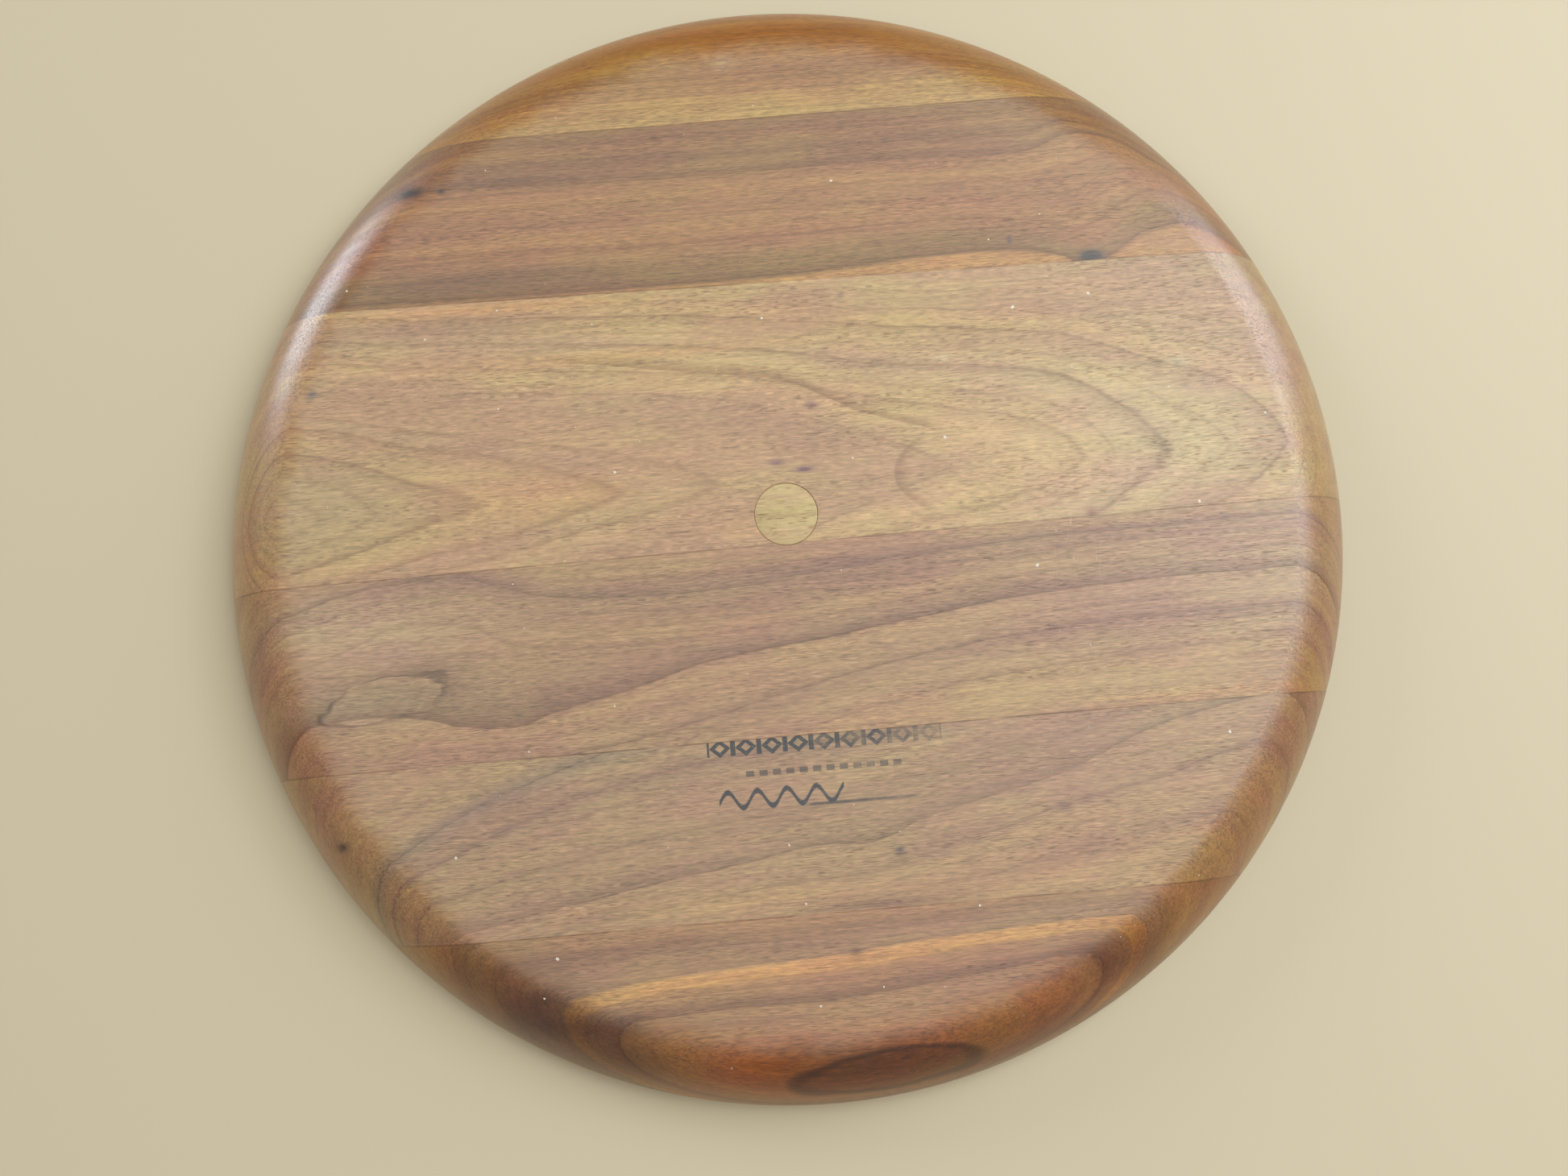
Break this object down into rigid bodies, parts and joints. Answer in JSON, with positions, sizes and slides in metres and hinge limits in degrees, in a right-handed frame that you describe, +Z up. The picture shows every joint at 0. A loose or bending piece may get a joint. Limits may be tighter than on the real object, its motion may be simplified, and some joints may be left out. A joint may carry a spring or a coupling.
{
  "type": "lazy susan turntable",
  "caption": "Low round wooden turntable: a glued-up board with a broad rounded edge turns on a ball race over a small recessed base with rubber feet.",
  "frame": {"origin": "on the spin axis, at the plane that the feet stand on", "axes": "+Z up along the spin axis; +X along the staves' grain; +Y towards the far stave"},
  "size_m": [0.4064, 0.4064, 0.0256],
  "materials": {
    "stave_1": "worn oiled walnut, pale straight grain",
    "stave_2": "worn oiled walnut, reddish straight grain",
    "stave_3": "worn oiled walnut, golden cathedral figure",
    "stave_4": "worn oiled walnut, wavy brown figure",
    "stave_5": "worn oiled walnut with a faded ink mark",
    "stave_6": "worn oiled walnut, dark edge figure",
    "base_walnut": "plain oiled walnut",
    "plug_wood": "sanded pale side grain plug",
    "bolt_steel": "zinc plated",
    "bush_steel": "turned, oiled",
    "race_steel": "pressed, zinc plated",
    "ball_steel": "polished",
    "cage_steel": "stamped",
    "screw_brass": "dull brass",
    "screw_steel": "zinc plated",
    "red_fibre": "vulcanised fibre",
    "foot_rubber": "dull black"
  },
  "bodies": {
    "base": {"base_stave_1": "base_walnut", "base_stave_2": "base_walnut", "base_stave_3": "base_walnut", "pivot_bush": "bush_steel", "lower_race": "race_steel", "lower_race_screws": "screw_brass", "foot_1": "foot_rubber", "foot_2": "foot_rubber", "foot_3": "foot_rubber", "foot_4": "foot_rubber", "foot_screws": "screw_steel"},
    "turntable": {"stave_1": "stave_1", "stave_2": "stave_2", "stave_3": "stave_3", "stave_4": "stave_4", "stave_5": "stave_5", "stave_6": "stave_6", "center_plug": "plug_wood", "pivot_bolt": "bolt_steel", "upper_race": "race_steel", "upper_race_screws": "screw_brass", "fibre_washer": "red_fibre", "steel_washer": "bolt_steel", "pivot_nut": "bolt_steel"},
    "ball_ring": {"bearing_balls": "ball_steel", "ball_cage": "cage_steel"}
  },
  "joints": [
    {"name": "turntable_spin", "type": "hinge", "parent": "base", "child": "turntable", "pos_m": [0, 0, 0], "axis": [0, 0, 1], "continuous": true},
    {"name": "ball_ring_spin", "type": "hinge", "parent": "base", "child": "ball_ring", "pos_m": [0, 0, 0], "axis": [0, 0, 1], "continuous": true}
  ],
  "couplings": [
    {"joint": "ball_ring_spin", "follows": "turntable_spin", "ratio": 0.5}
  ]
}
